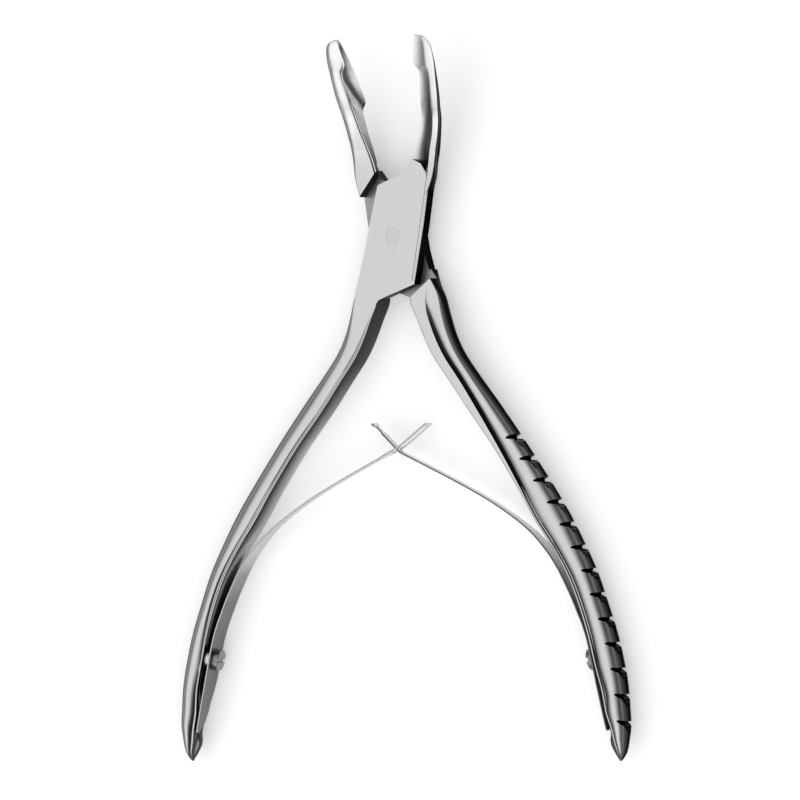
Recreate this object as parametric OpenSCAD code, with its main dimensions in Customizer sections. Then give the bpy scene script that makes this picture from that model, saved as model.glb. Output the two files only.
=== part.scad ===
// Bone rongeur: two crossed steel halves on a lap joint, cupped jaws that rise
// from the plane of the joint, and a pair of interlocking leaf springs.
// Each half is drawn upright, as it stands in the closed instrument, and is then
// turned about the pivot to the open rest position.
// Origin: on the pivot axis, at the back face of the joint. +Y points to the jaws.

/* [Pose] */
// Angle that each half stands open at rest, in degrees
rest_angle = 11.65; // [8:0.05:13]

/* [Lap joint] */
// Thickness of one lap of the joint
lap_t = 4.4; // [3.6:0.1:5.4]
// Width of the joint across the laps
joint_w = 12; // [10:0.5:14]
// Length of the joint between its slanted shoulders
joint_len = 27; // [24:0.5:30]
// Distance of the jaw shoulder from the pivot, square to the shoulder
jaw_shoulder_r = 12.03; // [11.6:0.05:12.6]
// Distance of the handle shoulder from the pivot, square to the shoulder
neck_shoulder_r = 13.7; // [13:0.05:14.5]
// Slant of the jaw shoulder, in degrees
jaw_shoulder_slant = 43.8; // [38:0.2:48]
// Slant of the handle shoulder, in degrees
neck_shoulder_slant = 30.2; // [26:0.2:34]
// Radius of the milled flat that runs out into the jaw
flat_r = 6.7; // [5.5:0.1:8]
// Diameter of the pivot pin
pin_d = 3.5; // [2.5:0.1:4.5]
// Bevel round the peened ends of the pin
pin_bevel = 0.15; // [0.05:0.05:0.4]

/* [Jaws] */
// Length from the pivot to the tip of the jaws
jaw_len = 48; // [42:0.1:54]
// Widest half width of the closed jaws
jaw_w = 6.25; // [5.6:0.05:7.5]
// Thickness of the jaw at its root
jaw_t = 8.6; // [7.5:0.1:10]
// Rise of the jaw tip above the mid plane of the joint
jaw_rise = 14.4; // [8:0.2:17]
// Depth of the scoop behind the cutting rim
scoop_depth = 2.2; // [1:0.1:2.6]
// Relief between the shanks of the closed jaws, each side
jaw_relief = 2.1; // [1.5:0.1:2.6]

/* [Handles] */
// Length from the pivot to the pointed end of the handles
handle_len = 131.85; // [115:0.5:150]
// Widest distance of a handle from the centre plane, closed
handle_reach = 33.1; // [29:0.1:38]
// Width of the handle in plan
grip_w = 6; // [5.2:0.1:7.5]
// Thickness of the handle
grip_t = 8.8; // [7.5:0.1:9]
// Depth of the hollow along the inner face of the grip
hollow_depth = 1.8; // [0.8:0.1:2.2]

/* [Finger serrations] */
// Number of notches along the right handle
notch_count = 13; // [5:1:14]
// Distance of the first notch below the pivot
notch_start = 51.9; // [46:0.5:60]
// Distance between the first two notches
notch_pitch = 5.58; // [4.5:0.1:6]
// Depth of each notch
notch_depth = 1.6; // [0.8:0.1:2.2]
// Width of a notch where it opens
notch_mouth = 0.75; // [0.4:0.05:1.4]

/* [Leaf springs] */
// Thickness of the spring leaf
leaf_t = 0.4; // [0.3:0.05:0.7]
// Width of the leaf along the grip
leaf_w = 7.4; // [6:0.1:8]
// Width of the leaf where it stands free
leaf_free_w = 2.8; // [2:0.1:3]
// Distance of the leaf from the rim of the grip, at the screw
leaf_stand = 1.55; // [1.3:0.05:2]
// Place where the left leaf crosses the middle, as a share of the handle length
left_cross_share = 0.377; // [0.34:0.001:0.42]
// Place where the right leaf crosses the middle, as a share of the handle length
right_cross_share = 0.3872; // [0.34:0.0001:0.42]
// Length of the slotted end of the left leaf past the crossing
fork_len = 8.7; // [6:0.1:11]
// Width of the slotted end
fork_w = 4.8; // [4.2:0.1:5.8]
// Width of the slot
slot_w = 3.3; // [3.1:0.1:3.8]
// Length of the hooked end of the right leaf past the crossing
tongue_len = 9.7; // [7:0.1:12]
// Width of the cross piece that keeps the tongue in the slot
tongue_head_w = 4; // [3.4:0.1:4.8]
// Slope of the slotted end, in degrees
fork_slope = 38.5; // [30:0.5:46]
// Slope of the tongue, in degrees
tongue_slope = 45; // [36:0.5:52]

/* [Spring screws] */
// Place of the screws down the handle, as a share of its length
screw_share = 0.813; // [0.78:0.001:0.84]
// Diameter of the screw shank
screw_d = 2.4; // [1.8:0.1:3]
// Diameter of the slotted head
head_d = 5.2; // [4.2:0.1:6]
// Height of the head
head_h = 1.5; // [0.9:0.1:2]
// Width of the screwdriver slot
screw_slot_w = 0.8; // [0.5:0.05:1]
// Depth of the screwdriver slot
screw_slot_depth = 0.6; // [0.3:0.05:0.8]
// Depth of the screw in the handle
screw_depth = 4.2; // [3:0.1:5]
// Diameter of the boss that carries the leaf
boss_d = 5.6; // [5:0.1:6.6]

/* [Clearances] */
// Play between the two laps
lap_gap = 0.04; // [0.02:0.01:0.1]
// Play round the pin in the turning half
pin_gap = 0.05; // [0.02:0.01:0.1]
// Gap that each jaw keeps from the centre plane when closed
jaw_gap = 0.1; // [0.05:0.05:0.3]
// Gap between the leaf, its boss and the screw head
seat_gap = 0.05; // [0.02:0.01:0.15]
// Play of the leaf hole round the screw
leaf_hole_gap = 0.2; // [0.1:0.05:0.4]

/* [Hidden] */
// Overrun of every cut
cut_over = 2;
mid_z = lap_t;
joint_t = 2*lap_t;
// Length of a cut that clears the whole joint
cut_len = joint_t + jaw_rise + jaw_t + 2*cut_over;
screw_y = handle_len*screw_share;
left_cross_y = handle_len*left_cross_share;
right_cross_y = handle_len*right_cross_share;
pin_r = pin_d/2;
$fn = 64;

// Outlines of the front lap and of the back lap, as shares of the joint width and
// length
front_lap_shares = [[-0.5, 0.4], [0.03, 0.567], [0.06, 0.645], [0.11, 0.685],
    [0.3, 0.66], [0.53, 0.548], [0.585, 0.139], [0.612, -0.354], [0.615, -0.38],
    [-0.048, -0.576], [-0.112, -0.63], [-0.25, -0.68], [-0.56, -0.6],
    [-0.555, -0.52], [-0.54, -0.4], [-0.52, -0.174], [-0.52, 0.044]];
back_lap_shares = [[-0.44, 0.322], [0.125, 0.511], [0.25, 0.552], [0.21, 0.6],
    [0.3, 0.66], [0.53, 0.548], [0.6, 0.139], [0.612, -0.354], [0.615, -0.38],
    [-0.048, -0.576], [-0.112, -0.63], [-0.25, -0.68], [-0.53, -0.6],
    [-0.5, -0.52], [-0.465, -0.4], [-0.44, -0.174], [-0.46, 0.044]];
// Centre of the milled run-out, as shares of the joint width and length
flat_centre_share = [-0.075, 0.478];

// Stations down the handle as shares of its length
handle_y_shares = [0.072, 0.102, 0.125, 0.155, 0.193, 0.231, 0.277, 0.334, 0.41,
    0.493, 0.551, 0.609, 0.664, 0.721, 0.774, 0.83, 0.872, 0.913, 0.94, 0.9645,
    0.985, 0.996, 1];
// Outer edge at those stations as shares of the handle reach
handle_outer_shares = [0.184, 0.193, 0.211, 0.224, 0.245, 0.286, 0.366, 0.474,
    0.606, 0.739, 0.824, 0.89, 0.941, 0.971, 0.994, 1, 0.993, 0.973, 0.957, 0.927,
    0.895, 0.862, 0.842];
// Width at those stations as shares of the grip width
handle_width_shares = [0.783, 0.833, 1.017, 0.967, 0.933, 0.93, 0.942, 1.01, 0.953,
    0.962, 0.987, 0.85, 0.768, 0.732, 0.758, 0.787, 0.768, 0.775, 0.7, 0.56, 0.35,
    0.16, 0.06];
// Thickness as shares of the grip thickness
handle_thick_shares = [0.975, 0.975, 0.98, 0.985, 0.99, 1, 1, 1, 1, 1, 1, 1, 1, 1,
    1, 1, 0.98, 0.93, 0.86, 0.72, 0.48, 0.24, 0.1];
// Place of the crest of the bead across the width, from the outer edge
crest_shares = [0.06, 0.06, 0.1, 0.2, 0.24, 0.27, 0.33, 0.4, 0.47, 0.52, 0.55,
    0.58, 0.58, 0.58, 0.58, 0.58, 0.56, 0.54, 0.52, 0.5, 0.5, 0.5, 0.5];
// Place of the crease between bead and flat band, from the outer edge
crease_shares = [0.12, 0.12, 0.2, 0.35, 0.38, 0.42, 0.48, 0.58, 0.71, 0.85, 0.93,
    0.94, 0.94, 0.94, 0.94, 0.94, 0.94, 0.94, 0.94, 0.94, 0.94, 0.94, 0.94];
// Height of the flat band as shares of the half thickness
band_shares = [0.965, 0.96, 0.94, 0.92, 0.87, 0.83, 0.81, 0.8, 0.78, 0.78, 0.79,
    1, 1, 1, 1, 1, 1, 1, 1, 1, 1, 1, 1];
// Squareness of the outer side, two is an ellipse
side_power_shares = [7, 7, 5, 3.4, 2.9, 2.6, 2.4, 2.3, 2.2, 2.2, 2.2, 2.2, 2.2,
    2.2, 2.2, 2.2, 2.2, 2.2, 2.2, 2.2, 2.1, 2, 2];
// Hollow of the inner face as shares of its depth, negative where it swells
hollow_shares = [0, 0, 0, 0, 0, 0, 0, 0, 0.02, 0.06, 0.2, 0.6, 0.9, 1, 1, 1, 0.95,
    0.4, -0.12, -0.6, -0.4, -0.12, -0.04];
// Spread of the bead past the rim, as a share of the width
bead_spread_share = 1.3;
// Angles of the points on the outer side of the bead
bead_angles = [0, 14, 28, 42, 57, 73];

// Stations along the jaw as shares of its length
jaw_y_shares = [0.185, 0.25, 0.32, 0.385, 0.456, 0.53, 0.595, 0.635, 0.665, 0.7,
    0.745, 0.79, 0.825, 0.85, 0.88, 0.915, 0.948, 0.975, 0.992, 1];
// Outer edge as shares of the jaw half width
jaw_outer_shares = [0.99, 1.03, 1.065, 1.03, 0.99, 0.995, 0.985, 0.97, 0.958,
    0.945, 0.91, 0.865, 0.825, 0.8, 0.765, 0.7, 0.63, 0.53, 0.38, 0.22];
// Relief of the inner edge on the front and on the back, as shares of the relief
front_relief_shares = [0.3, 0.3, 0.3, 0.38, 0.6, 0.85, 0.93, 0.92, 0.9, 0.87, 0.85,
    0.82, 0.62, 0.12, 0, 0, 0, 0, 0, 0];
back_relief_shares = [1.1, 1.2, 1.3, 0.85, 0.83, 0.9, 0.85, 0.7, 0.12, 0, 0, 0, 0,
    0, 0, 0, 0, 0, 0, 0];
// Height of the jaw centre as shares of the rise
jaw_z_shares = [0, 0.004, 0.042, 0.085, 0.123, 0.178, 0.246, 0.312, 0.372, 0.438,
    0.517, 0.597, 0.66, 0.708, 0.764, 0.83, 0.889, 0.944, 0.983, 1];
// Thickness across the joint plane as shares of the root thickness
jaw_thick_shares = [1, 1, 0.985, 0.92, 0.835, 0.805, 0.8, 0.79, 0.78, 0.765, 0.73,
    0.68, 0.635, 0.6, 0.56, 0.5, 0.42, 0.32, 0.22, 0.12];
// Squareness of the jaw section, two is an ellipse
jaw_power_shares = [7, 6, 4, 3, 2.5, 2.3, 2.2, 2.2, 2.2, 2.2, 2.2, 2.2, 2.2, 2.2,
    2.2, 2.2, 2.1, 2, 2, 2];
// Place of the crest of the jaw across its width, from the inner edge
jaw_crest_shares = [0.1, 0.1, 0.15, 0.28, 0.38, 0.4, 0.38, 0.34, 0.3, 0.27, 0.25,
    0.24, 0.22, 0.2, 0.18, 0.18, 0.2, 0.26, 0.32, 0.36];
// Depth of the scoop as shares
scoop_shares = [0, 0, 0, 0, 0, 0, 0.02, 0.15, 0.4, 0.65, 0.85, 1, 1, 0.97, 0.9,
    0.75, 0.5, 0.2, 0.02, 0];
// Points round the jaw section
jaw_points = 24;
// Steps between two stations of a loft
loft_steps = 2;

// Route of a leaf from its screw to the crossing, as shares of the way along X and Y
leaf_dx_shares = [0, 0, 0, 0, 0.0013, 0.012, 0.027, 0.0446, 0.0743, 0.107, 0.1607,
    0.2444, 0.355, 0.482, 0.6252, 0.8007, 1];
leaf_dy_shares = [-0.3, -0.2, -0.095, 0, 0.0774, 0.146, 0.198, 0.258, 0.3354,
    0.404, 0.48, 0.566, 0.6485, 0.729, 0.8084, 0.8996, 1];
// Width along that route, from the free width at zero to the full width at one
leaf_width_shares = [1, 1, 1, 1, 1, 1, 1, 1, 0.97, 0.88, 0.64, 0.3, 0.1, 0.04, 0,
    0, 0];
// Rounding of the lower end of the leaf: place in leaf widths, and width
leaf_end_shares = [[0, 0.2], [0.06, 0.6], [0.17, 0.84], [0.32, 0.96], [0.5, 1]];
// Where the slot begins and ends, as shares of the slotted end
slot_start_share = -0.2;
slot_end_share = 0.88;
// Where the tongue narrows, and where its cross piece begins, as shares
neck_start_share = 0.7;
head_start_share = 0.9;
neck_w_share = 0.55;

steel = [0.78, 0.78, 0.79];
satin = [0.7, 0.7, 0.71];
spring_steel = [0.6, 0.6, 0.62];

function blend4(a, b, c, d, t) = (2*b + (c - a)*t + (2*a - 5*b + 4*c - d)*t*t
    + (3*b - a - 3*c + d)*t*t*t)/2;
function along(tab, s) = let (n = len(tab) - 1, i = min(floor(s), n - 1))
    blend4(tab[max(i - 1, 0)], tab[i], tab[i + 1], tab[min(i + 2, n)], s - i);
function steps(tab) = [for (i = [0 : (len(tab) - 1)*loft_steps]) i/loft_steps];
function ring_faces(rings, n) = concat(
    [[for (j = [n - 1 : -1 : 0]) j]],
    [for (i = [0 : rings - 2], j = [0 : n - 1])
        [i*n + j, i*n + (j + 1)%n, (i + 1)*n + j]],
    [for (i = [0 : rings - 2], j = [0 : n - 1])
        [i*n + (j + 1)%n, (i + 1)*n + (j + 1)%n, (i + 1)*n + j]],
    [[for (j = [0 : n - 1]) (rings - 1)*n + j]]);

module loft(rings) {
    n = len(rings[0]);
    polyhedron(points = [for (r = rings, p = r) p], faces = ring_faces(len(rings), n));
}

// Handle: a bead on the outside, a flat band that runs out, and a hollow inner face
function handle_y(s) = handle_len*along(handle_y_shares, s);
function handle_outer(s) = handle_reach*along(handle_outer_shares, s);
function handle_width(s) = grip_w*along(handle_width_shares, s);
function bead_fall(u, crest) = sqrt(max(0, 1 - pow((u - crest)/(bead_spread_share
    - crest), 2)));
function handle_half(s) = let (
    h = grip_t*along(handle_thick_shares, s)/2,
    crest = along(crest_shares, s),
    crease = along(crease_shares, s),
    band = along(band_shares, s),
    p = 2/along(side_power_shares, s),
    hollow = hollow_depth*along(hollow_shares, s)/handle_width(s),
    rim = min(band, bead_fall(1, crest)),
    low = min(band, bead_fall(crease, crest)),
    between = (crease + crest)/2)
    concat([for (a = bead_angles) [crest*(1 - pow(cos(a), p)), h*pow(sin(a), p)]],
        [[crest, h], [between, h*bead_fall(between, crest)],
        [crease, h*bead_fall(crease, crest)], [crease + 0.03, h*low], [1, h*rim],
        [1 - hollow*0.62, h*rim*0.6], [1 - hollow*0.92, h*rim*0.25]]);
function handle_ring(s) = let (half = handle_half(s), w = handle_width(s),
    x = handle_outer(s), y = -handle_y(s))
    concat([for (q = half) [q[0]*w - x, y, mid_z + q[1]]],
        [for (i = [len(half) - 1 : -1 : 1])
            [half[i][0]*w - x, y, mid_z - half[i][1]]]);
module handle() {
    loft([for (s = steps(handle_y_shares)) handle_ring(s)]);
}

// Outer edge and rim of the handle at a distance below the pivot
function handle_table(inner) = [for (s = steps(handle_y_shares)) [handle_y(s),
    handle_outer(s) - (inner ? handle_width(s) : 0)]];
function outer_at(y) = lookup(y, handle_table(false));
function rim_at(y) = lookup(y, handle_table(true));

// Jaw: rises from the joint, with a scoop behind the cutting rim
function jaw_ring(s) = let (
    y = jaw_len*along(jaw_y_shares, s),
    outer = jaw_w*along(jaw_outer_shares, s),
    front = jaw_gap + jaw_relief*max(0, along(front_relief_shares, s)),
    back = jaw_gap + jaw_relief*max(0, along(back_relief_shares, s)),
    h = jaw_t*along(jaw_thick_shares, s)/2,
    z = mid_z + jaw_rise*along(jaw_z_shares, s),
    p = 2/along(jaw_power_shares, s),
    scoop = scoop_depth*max(0, along(scoop_shares, s)),
    crest = along(jaw_crest_shares, s))
    [for (k = [0 : jaw_points - 1]) let (
        a = 360*k/jaw_points,
        c = pow(abs(cos(a)), p),
        v = sign(sin(a))*pow(abs(sin(a)), p),
        inner = back + (front - back)*(v + 1)/2,
        mid = inner + crest*(outer - inner))
        [cos(a) > 0 ? mid + (outer - mid)*c
            : mid - (mid - inner)*c + scoop*c*max(0, 1 - v*v*1.5),
        y, z + h*v]];
module jaw() {
    loft([for (s = steps(jaw_y_shares)) jaw_ring(s)]);
}

// One lap of the joint
module lap(z) {
    translate([0, 0, z])
        linear_extrude(height = lap_t - (z > 0 ? 0 : lap_gap))
            polygon([for (p = z > 0 ? front_lap_shares : back_lap_shares)
                [p[0]*joint_w, p[1]*joint_len]]);
}

// Space of the other lap, between the two slanted shoulders
module lap_space(z, height) {
    jaw_dir = [cos(jaw_shoulder_slant), -sin(jaw_shoulder_slant)];
    neck_dir = [cos(neck_shoulder_slant), -sin(neck_shoulder_slant)];
    jaw_foot = jaw_shoulder_r*[sin(jaw_shoulder_slant), cos(jaw_shoulder_slant)];
    neck_foot = -neck_shoulder_r*[sin(neck_shoulder_slant), cos(neck_shoulder_slant)];
    translate([0, 0, z])
        linear_extrude(height = height)
            polygon([jaw_foot - joint_len*jaw_dir, jaw_foot + joint_len*jaw_dir,
                neck_foot + joint_len*neck_dir, neck_foot - joint_len*neck_dir]);
}

// Flat ground over the front of the joint, running out in an arc on the jaw
module front_flat() {
    centre = [flat_centre_share[0]*joint_w, flat_centre_share[1]*joint_len];
    translate([centre[0], centre[1], joint_t])
        cylinder(h = cut_len, r = flat_r);
    translate([-joint_w, centre[1] - joint_len, joint_t])
        cube([2*joint_w, joint_len, cut_len]);
}

// Notches across the outer side of the handle
function notch_place(i) = notch_start + notch_pitch*(i + 0.0055*i*i);
module notch(y) {
    x = outer_at(y);
    lean = atan2(outer_at(y + notch_pitch/2) - outer_at(y - notch_pitch/2), notch_pitch);
    translate([-x, -y, -cut_over])
        rotate(-lean)
            linear_extrude(height = grip_t + 2*cut_over)
                polygon([[notch_depth, notch_mouth/2], [-notch_depth, -notch_mouth*0.3],
                    [-notch_depth, -notch_mouth*1.9], [0, -notch_mouth],
                    [notch_depth*0.9, notch_mouth*0.15]]);
}

// Seat of a leaf spring: the boss in the hollow, and the hole for the screw
seat_x = rim_at(screw_y) - leaf_stand;
boss_x = seat_x + leaf_t/2 + seat_gap;
boss_len = leaf_stand + hollow_depth - leaf_t/2 + grip_w*0.06;
module along_x(x, len, r) {
    translate([-x, -screw_y, mid_z])
        rotate([0, -90, 0])
            cylinder(h = len, r = r);
}

// One half of the instrument, upright, with its handle on the left
module half(lap_z, space_z, serrated) {
    difference() {
        union() {
            lap(lap_z);
            handle();
            jaw();
            along_x(boss_x, boss_len, boss_d/2);
        }
        lap_space(space_z, lap_t + (space_z < 0 ? cut_over : joint_t + jaw_rise));
        front_flat();
        along_x(boss_x - cut_over, screw_depth + cut_over, screw_d/2);
        if (serrated) for (i = [0 : notch_count - 1]) notch(notch_place(i));
    }
}

module left_member() {
    color(steel)
        rotate(-rest_angle)
            difference() {
                half(lap_t, -cut_over, false);
                translate([0, 0, -cut_over])
                    cylinder(h = cut_len, r = pin_r);
            }
}

module right_member() {
    color(steel)
        rotate(rest_angle)
            mirror([1, 0, 0])
                difference() {
                    half(0, lap_t - lap_gap, true);
                    translate([0, 0, -cut_over])
                        cylinder(h = cut_len, r = pin_r + pin_gap);
                }
}

module pivot_pin() {
    color(satin) {
        cylinder(h = pin_bevel, r1 = pin_r - pin_bevel, r2 = pin_r);
        translate([0, 0, pin_bevel])
            cylinder(h = joint_t - 2*pin_bevel, r = pin_r);
        translate([0, 0, joint_t - pin_bevel])
            cylinder(h = pin_bevel, r1 = pin_r, r2 = pin_r - pin_bevel);
    }
}

// Leaf: its route in plan, its width along the route, and the swept strip
function cross_point(cross_y) = [-cross_y*sin(rest_angle), cross_y*cos(rest_angle)];
function leaf_point(s, cross_y) = let (c = cross_point(cross_y))
    [seat_x - (seat_x - c[0])*along(leaf_dx_shares, s),
    screw_y - (screw_y - c[1])*along(leaf_dy_shares, s)];
function end_point(cross_y, slope, d) = let (c = cross_point(cross_y),
    a = slope + rest_angle) [c[0] - d*cos(a), c[1] - d*sin(a)];
function leaf_body(cross_y) = let (last = len(leaf_dx_shares) - 1)
    concat([for (e = leaf_end_shares) let (p = leaf_point(0, cross_y))
        [p[0], p[1] - e[0]*leaf_w, leaf_w*e[1]]],
    [for (i = [2 : last*2 - 1]) let (s = i/2, p = leaf_point(s, cross_y))
        [p[0], p[1], leaf_free_w + (leaf_w - leaf_free_w)*max(0,
            along(leaf_width_shares, s))]]);
module strip(route) {
    n = len(route) - 1;
    dirs = [for (i = [0 : n]) let (a = route[max(i - 1, 0)], b = route[min(i + 1, n)],
        d = [b[0] - a[0], b[1] - a[1]]) d/norm(d)];
    loft([for (i = [0 : n]) let (p = route[i], d = dirs[i]*leaf_t/2, w = p[2]/2)
        [[-p[0] - d[1], d[0] - p[1], mid_z - w], [-p[0] - d[1], d[0] - p[1], mid_z + w],
        [-p[0] + d[1], -d[0] - p[1], mid_z + w], [-p[0] + d[1], -d[0] - p[1], mid_z - w]]]);
}
module leaf(route) {
    difference() {
        strip(route);
        along_x(seat_x - cut_over, 2*cut_over, screw_d/2 + leaf_hole_gap);
    }
}

module left_leaf_spring() {
    shares = [[-0.6, 0], [-0.4, 1], [-0.2, 1], [0, 1], [0.5, 1], [0.93, 1], [1, 0.85]];
    route = concat(leaf_body(left_cross_y), [for (q = shares) let (
        p = q[0] < 0 ? leaf_point(len(leaf_dx_shares) - 1 + q[0]*0.8, left_cross_y)
            : end_point(left_cross_y, fork_slope, q[0]*fork_len))
        [p[0], p[1], leaf_free_w + q[1]*(fork_w - leaf_free_w)]]);
    c = cross_point(left_cross_y);
    color(spring_steel)
        rotate(-rest_angle)
            difference() {
                leaf(route);
                translate([-c[0], -c[1], mid_z - slot_w/2])
                    rotate(fork_slope + rest_angle)
                        translate([slot_start_share*fork_len, -cut_over, 0])
                            cube([(slot_end_share - slot_start_share)*fork_len,
                                2*cut_over, slot_w]);
            }
}

module right_leaf_spring() {
    shares = [[0, 1], [neck_start_share - 0.02, 1], [neck_start_share, neck_w_share],
        [head_start_share - 0.02, neck_w_share],
        [head_start_share, tongue_head_w/leaf_free_w], [1, tongue_head_w/leaf_free_w]];
    route = concat(leaf_body(right_cross_y), [for (q = shares) let (
        p = end_point(right_cross_y, tongue_slope, q[0]*tongue_len))
        [p[0], p[1], q[1]*leaf_free_w]]);
    color(spring_steel)
        rotate(rest_angle)
            mirror([1, 0, 0])
                leaf(route);
}

// Slotted cheese-head screw
module spring_screw() {
    head_x = seat_x - leaf_t/2 - seat_gap;
    difference() {
        union() {
            along_x(head_x - head_h, head_h, head_d/2);
            along_x(head_x, boss_x - head_x + screw_depth, screw_d/2);
        }
        translate([-head_x + head_h - screw_slot_depth, -screw_y - screw_slot_w/2,
            mid_z - head_d])
            cube([cut_over, screw_slot_w, 2*head_d]);
    }
}

module left_spring_screw() {
    color(satin)
        rotate(-rest_angle)
            spring_screw();
}

module right_spring_screw() {
    color(satin)
        rotate(rest_angle)
            mirror([1, 0, 0])
                spring_screw();
}

left_member();
right_member();
pivot_pin();
left_leaf_spring();
right_leaf_spring();
left_spring_screw();
right_spring_screw();
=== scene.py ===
import math

import bmesh
import bpy
from mathutils import Matrix, Vector


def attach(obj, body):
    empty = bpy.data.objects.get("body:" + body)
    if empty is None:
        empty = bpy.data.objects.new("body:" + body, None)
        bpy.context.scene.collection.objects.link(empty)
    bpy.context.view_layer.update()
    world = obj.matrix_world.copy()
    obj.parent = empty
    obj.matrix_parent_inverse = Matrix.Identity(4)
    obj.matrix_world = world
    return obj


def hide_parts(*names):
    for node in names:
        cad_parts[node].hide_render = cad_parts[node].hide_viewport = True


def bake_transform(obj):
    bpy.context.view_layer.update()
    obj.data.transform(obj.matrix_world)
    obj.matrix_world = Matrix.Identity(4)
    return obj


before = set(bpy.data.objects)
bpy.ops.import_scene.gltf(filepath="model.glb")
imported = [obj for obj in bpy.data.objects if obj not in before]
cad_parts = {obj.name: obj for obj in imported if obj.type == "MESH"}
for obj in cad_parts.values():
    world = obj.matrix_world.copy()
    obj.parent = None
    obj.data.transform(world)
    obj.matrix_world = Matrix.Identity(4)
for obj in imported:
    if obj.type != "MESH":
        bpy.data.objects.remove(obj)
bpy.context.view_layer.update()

mm = 0.001
restAngle = math.radians(11.65)  # each half stands open this much
midPlane = 4.4  # height of the plane where the two laps meet
plateTop = 8.8  # height of the ground front face
mergeDistance = 0.004  # vertices closer than this are one, in mm
sliverLength = 0.006  # the cuts leave slivers shorter than this, in mm
nearly = 1e-7  # places that differ by less than this, in metres, are the same
around = {"side": 60, "handles": 160, "jaws": 40, "under": 5, "over": 40}  # past the part
print("frame loaded:", sorted(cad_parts))


def along(table, s):  # smooth value of a table between its stations
    last = len(table) - 1
    i = min(int(s), last - 1)
    a, b, c, d = table[max(i - 1, 0)], table[i], table[i + 1], table[min(i + 2, last)]
    t = s - i
    return (2*b + (c - a)*t + (2*a - 5*b + 4*c - d)*t*t + (3*b - a - 3*c + d)*t**3)/2


def lookup(pairs, value):  # straight-line value in a list of (place, value)
    for (p, a), (q, b) in zip(pairs, pairs[1:]):
        if p <= value <= q:
            return a + (b - a)*(value - p)/max(q - p, 1e-9)
    return pairs[0][1] if value < pairs[0][0] else pairs[-1][1]


def placeRing(ring, points):
    for vert, point in zip(ring, points):
        vert.co = Vector(point)*mm


def pushRing(bm, ring):  # extrudes a closed ring once and keeps its order
    edges = [bm.edges.get((ring[i - 1], ring[i])) for i in range(len(ring))]
    made = bmesh.ops.extrude_edge_only(bm, edges=edges)["geom"]
    fresh = {g for g in made if isinstance(g, bmesh.types.BMVert)}
    return [next(e.other_vert(v) for e in v.link_edges if e.other_vert(v) in fresh)
            for v in ring]


def sweep(sections):  # one closed bar through a list of cross sections
    bm = bmesh.new()
    ring = bmesh.ops.create_circle(bm, segments=len(sections[0]), radius=1)["verts"]
    first = ring
    placeRing(ring, sections[0])
    for points in sections[1:]:
        ring = pushRing(bm, ring)
        placeRing(ring, points)
    for end in (first, ring):
        bmesh.ops.contextual_create(
            bm, geom=[bm.edges.get((end[i - 1], end[i])) for i in range(len(end))])
    bmesh.ops.recalc_face_normals(bm, faces=bm.faces)
    return bm


def prism(outline, low, high):  # an outline raised between two heights
    bm = bmesh.new()
    ring = bmesh.ops.create_circle(bm, segments=len(outline), radius=1)["verts"]
    placeRing(ring, [(x, y, low) for x, y in outline])
    face = bmesh.ops.contextual_create(bm, geom=ring)["faces"]
    made = bmesh.ops.extrude_face_region(bm, geom=face)["geom"]
    top = [g for g in made if isinstance(g, bmesh.types.BMVert)]
    bmesh.ops.translate(bm, verts=top, vec=(0, 0, (high - low)*mm))
    bmesh.ops.recalc_face_normals(bm, faces=bm.faces)
    return bm


def slab(lowY, highY, low, high):  # a block that is wider than the part
    side = around["side"]
    return prism([(-side, lowY), (side, lowY), (side, highY), (-side, highY)], low, high)


def barBetween(start, end, radius, segments=48):  # a round bar between two points
    bm = bmesh.new()
    a, b = Vector(start)*mm, Vector(end)*mm
    turn = (b - a).to_track_quat("Z", "Y").to_matrix().to_4x4()
    bmesh.ops.create_cone(bm, cap_ends=True, segments=segments, radius1=radius*mm,
                          radius2=radius*mm, depth=(b - a).length,
                          matrix=Matrix.Translation((a + b)/2) @ turn)
    return bm


def finishMesh(bm, name):
    mesh = bpy.data.meshes.new(name)
    bm.to_mesh(mesh)
    bm.free()
    piece = bpy.data.objects.new(name, mesh)
    bpy.context.scene.collection.objects.link(piece)
    return piece


def combine(piece, other, how):  # union or difference with another closed mesh
    step = piece.modifiers.new("combine", "BOOLEAN")
    step.operation, step.solver, step.object = how, "MANIFOLD", other
    bpy.context.view_layer.update()
    graph = bpy.context.evaluated_depsgraph_get()
    mesh = bpy.data.meshes.new_from_object(piece.evaluated_get(graph))
    piece.modifiers.clear()
    old, piece.data = piece.data, mesh
    bpy.data.meshes.remove(old)
    gone = other.data
    bpy.data.objects.remove(other)
    bpy.data.meshes.remove(gone)
    return piece


def polish(piece, sharp=38, turn=None):  # merges, turns, and smooths a finished mesh
    bm = bmesh.new()
    bm.from_mesh(piece.data)
    bmesh.ops.remove_doubles(bm, verts=bm.verts, dist=mergeDistance*mm)
    if turn is not None:
        bmesh.ops.transform(bm, matrix=turn, verts=bm.verts)
    bmesh.ops.recalc_face_normals(bm, faces=bm.faces)
    bmesh.ops.dissolve_degenerate(bm, dist=sliverLength*mm, edges=bm.edges)
    for face in bm.faces:
        face.smooth = True
    for edge in bm.edges:
        edge.smooth = len(edge.link_faces) == 2 and edge.calc_face_angle(0) < math.radians(sharp)
    bm.to_mesh(piece.data)
    bm.free()
    weighted = piece.modifiers.new("faceNormals", "WEIGHTED_NORMAL")
    weighted.keep_sharp, weighted.weight = True, 60
    return piece


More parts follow.
